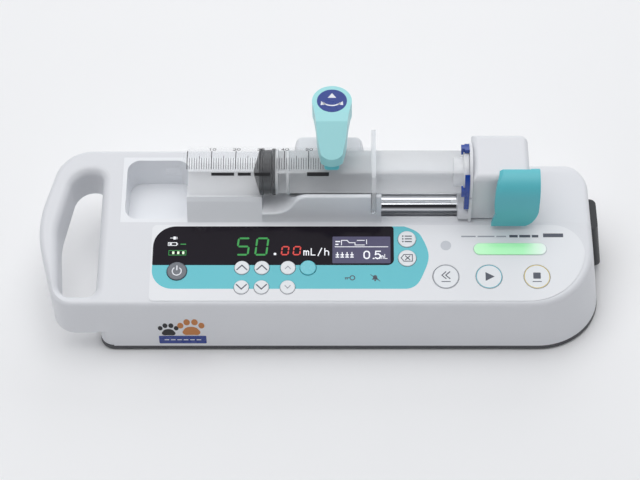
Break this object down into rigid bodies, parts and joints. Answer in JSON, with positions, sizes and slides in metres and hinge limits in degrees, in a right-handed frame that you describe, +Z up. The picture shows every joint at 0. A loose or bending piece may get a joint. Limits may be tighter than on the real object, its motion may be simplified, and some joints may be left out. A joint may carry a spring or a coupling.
{
  "type": "syringe infusion pump",
  "caption": "Bench or bedside syringe pump with sloped key panel, loaded syringe in an open cradle, motor-driven slider, swing-over barrel clamp and carrying handle",
  "frame": {"origin": "under the middle of the pump, in the plane that its feet stand on", "axes": "+X from the handle to the slider end, +Y from the front panel to the rear, +Z up"},
  "size_m": [0.3554, 0.1136, 0.1205],
  "materials": {
    "white_shell": "satin",
    "dark_base": "fine texture",
    "rubber_black": "matte",
    "steel_screw": "brushed",
    "black_cover": "fine texture",
    "white_tray": "satin",
    "nylon_bush": "satin",
    "clear_barrel": "clear polypropylene",
    "bearing_steel": "ground",
    "alloy": "satin",
    "belt_rubber": "matte",
    "motor_body": "satin",
    "spring_wire": "wire",
    "teal_sheet": "semi-gloss",
    "black_window": "gloss",
    "white_sheet": "semi-gloss",
    "green_lens": "gloss, lit",
    "circuit_board": "solder mask",
    "module_black": "gloss",
    "tinned_parts": "satin",
    "battery_wrap": "shrink wrap",
    "chrome_tube": "polished",
    "translucent_rod": "translucent polypropylene",
    "seal_rubber": "matte",
    "teal_lever": "satin",
    "blue_hook": "semi-gloss",
    "brass_nut": "machined",
    "pale_teal_clamp": "satin",
    "key_grey": "semi-gloss",
    "key_white": "semi-gloss",
    "key_teal": "semi-gloss"
  },
  "bodies": {
    "root": {"upper_case": "white_shell", "handle_cover": "white_shell", "bottom_pan": "dark_base", "battery_door": "dark_base", "rubber_feet": "rubber_black", "case_screws": "steel_screw", "side_cover": "black_cover", "power_inlet": "black_cover", "syringe_tray": "white_tray", "tube_bushing": "nylon_bush", "syringe_barrel": "clear_barrel", "screw_bearings": "bearing_steel", "guide_rod": "bearing_steel", "drive_frame": "alloy", "drive_belt": "belt_rubber", "stepper_motor": "motor_body", "clamp_tower": "white_shell", "clamp_bushing": "nylon_bush", "clamp_spring": "spring_wire", "key_field": "teal_sheet", "display_window": "black_window", "panel_sheet": "white_sheet", "light_bar": "green_lens", "display_board": "circuit_board", "digit_module": "module_black", "lcd_module": "module_black", "main_board": "circuit_board", "power_supply": "tinned_parts", "battery_pack": "battery_wrap"},
    "slider": {"slider_tube": "chrome_tube", "slider_head": "white_shell", "slider_face": "white_shell", "clutch_pin": "steel_screw", "carriage": "alloy"},
    "plunger": {"plunger": "translucent_rod", "plunger_seal": "seal_rubber"},
    "clutch_lever": {"clutch_lever": "teal_lever"},
    "front_hook": {"front_hook": "blue_hook"},
    "top_hook": {"top_hook": "blue_hook"},
    "clutch_rod": {"clutch_rod": "bearing_steel"},
    "half_nut": {"half_nut": "brass_nut"},
    "lead_screw": {"lead_screw": "bearing_steel", "screw_pulley": "alloy"},
    "motor_pulley": {"motor_pulley": "alloy"},
    "clamp_rod": {"clamp_rod": "steel_screw"},
    "clamp_lever": {"clamp_lever": "pale_teal_clamp", "clamp_pad": "teal_lever"},
    "power_key": {"power_key": "key_grey"},
    "up_key_tens": {"up_key_tens": "key_white"},
    "up_key_ones": {"up_key_ones": "key_white"},
    "up_key_tenths": {"up_key_tenths": "key_white"},
    "down_key_tens": {"down_key_tens": "key_white"},
    "down_key_ones": {"down_key_ones": "key_white"},
    "down_key_tenths": {"down_key_tenths": "key_white"},
    "menu_key": {"menu_key": "key_teal"},
    "display_key": {"display_key": "key_white"},
    "clear_key": {"clear_key": "key_white"},
    "bolus_key": {"bolus_key": "key_white"},
    "start_key": {"start_key": "key_white"},
    "stop_key": {"stop_key": "key_white"}
  },
  "joints": [
    {"name": "slider_travel", "type": "slide", "parent": "root", "child": "slider", "axis": [1, 0, 0], "range_m": [-0.044, 0.03]},
    {"name": "plunger_travel", "type": "slide", "parent": "root", "child": "plunger", "axis": [1, 0, 0], "range_m": [-0.0441, 0.0301]},
    {"name": "screw_spin", "type": "hinge", "parent": "root", "child": "lead_screw", "pos_m": [-0.026, 0.0165, 0.022], "axis": [1, 0, 0], "range_deg": [-3965, 2705]},
    {"name": "motor_spin", "type": "hinge", "parent": "root", "child": "motor_pulley", "pos_m": [-0.0935, 0.037, 0.0215], "axis": [1, 0, 0], "range_deg": [-7930, 5410]},
    {"name": "clutch_squeeze", "type": "hinge", "parent": "slider", "child": "clutch_lever", "pos_m": [0.12, 0.01, 0.089], "axis": [1, 0, 0], "range_deg": [0, 8.1]},
    {"name": "front_hook_open", "type": "hinge", "parent": "slider", "child": "front_hook", "pos_m": [0.0892, 0.0045, 0.068], "axis": [1, 0, 0], "range_deg": [0, 12.2]},
    {"name": "top_hook_open", "type": "slide", "parent": "slider", "child": "top_hook", "axis": [0, 0.2924, 0.9563], "range_m": [0, 0.00205]},
    {"name": "clutch_rod_turn", "type": "hinge", "parent": "slider", "child": "clutch_rod", "pos_m": [0, 0.0165, 0.0527], "axis": [1, 0, 0], "range_deg": [0, 24.2]},
    {"name": "half_nut_lift", "type": "slide", "parent": "slider", "child": "half_nut", "axis": [0, 0, 1], "range_m": [0, 0.0025], "stiffness_N_per_m": 800, "springref_m": -0.004},
    {"name": "clamp_lift", "type": "slide", "parent": "root", "child": "clamp_rod", "axis": [0, 0, 1], "range_m": [0, 0.012], "stiffness_N_per_m": 350, "springref_m": -0.02, "deforming": ["clamp_spring"]},
    {"name": "clamp_turn", "type": "hinge", "parent": "clamp_rod", "child": "clamp_lever", "pos_m": [0.0063, 0.044, 0.11], "axis": [0, 0, 1], "range_deg": [-90, 0]},
    {"name": "power_key_press", "type": "slide", "parent": "root", "child": "power_key", "axis": [0, 0.1822, -0.9833], "range_m": [0, 0.0005], "stiffness_N_per_m": 1200, "springref_m": -0.0004},
    {"name": "up_key_tens_press", "type": "slide", "parent": "root", "child": "up_key_tens", "axis": [0, 0.1822, -0.9833], "range_m": [0, 0.0005], "stiffness_N_per_m": 1200, "springref_m": -0.0004},
    {"name": "up_key_ones_press", "type": "slide", "parent": "root", "child": "up_key_ones", "axis": [0, 0.1822, -0.9833], "range_m": [0, 0.0005], "stiffness_N_per_m": 1200, "springref_m": -0.0004},
    {"name": "up_key_tenths_press", "type": "slide", "parent": "root", "child": "up_key_tenths", "axis": [0, 0.1822, -0.9833], "range_m": [0, 0.0005], "stiffness_N_per_m": 1200, "springref_m": -0.0004},
    {"name": "down_key_tens_press", "type": "slide", "parent": "root", "child": "down_key_tens", "axis": [0, 0.1822, -0.9833], "range_m": [0, 0.0005], "stiffness_N_per_m": 1200, "springref_m": -0.0004},
    {"name": "down_key_ones_press", "type": "slide", "parent": "root", "child": "down_key_ones", "axis": [0, 0.1822, -0.9833], "range_m": [0, 0.0005], "stiffness_N_per_m": 1200, "springref_m": -0.0004},
    {"name": "down_key_tenths_press", "type": "slide", "parent": "root", "child": "down_key_tenths", "axis": [0, 0.1822, -0.9833], "range_m": [0, 0.0005], "stiffness_N_per_m": 1200, "springref_m": -0.0004},
    {"name": "menu_key_press", "type": "slide", "parent": "root", "child": "menu_key", "axis": [0, 0.1822, -0.9833], "range_m": [0, 0.0005], "stiffness_N_per_m": 1200, "springref_m": -0.0004},
    {"name": "display_key_press", "type": "slide", "parent": "root", "child": "display_key", "axis": [0, 0.1822, -0.9833], "range_m": [0, 0.0005], "stiffness_N_per_m": 1200, "springref_m": -0.0004},
    {"name": "clear_key_press", "type": "slide", "parent": "root", "child": "clear_key", "axis": [0, 0.1822, -0.9833], "range_m": [0, 0.0005], "stiffness_N_per_m": 1200, "springref_m": -0.0004},
    {"name": "bolus_key_press", "type": "slide", "parent": "root", "child": "bolus_key", "axis": [0, 0.1822, -0.9833], "range_m": [0, 0.0005], "stiffness_N_per_m": 1200, "springref_m": -0.0004},
    {"name": "start_key_press", "type": "slide", "parent": "root", "child": "start_key", "axis": [0, 0.1822, -0.9833], "range_m": [0, 0.0005], "stiffness_N_per_m": 1200, "springref_m": -0.0004},
    {"name": "stop_key_press", "type": "slide", "parent": "root", "child": "stop_key", "axis": [0, 0.1822, -0.9833], "range_m": [0, 0.0005], "stiffness_N_per_m": 1200, "springref_m": -0.0004}
  ],
  "couplings": [
    {"joint": "plunger_travel", "follows": "slider_travel", "ratio": 1},
    {"joint": "screw_spin", "follows": "slider_travel", "rad_per_m": 1570.8},
    {"joint": "motor_spin", "follows": "slider_travel", "rad_per_m": 3141.6},
    {"joint": "clutch_squeeze", "follows": "half_nut_lift", "rad_per_m": 55.85},
    {"joint": "front_hook_open", "follows": "half_nut_lift", "rad_per_m": 83.78},
    {"joint": "top_hook_open", "follows": "half_nut_lift", "ratio": 0.8},
    {"joint": "clutch_rod_turn", "follows": "half_nut_lift", "rad_per_m": 167.55}
  ]
}
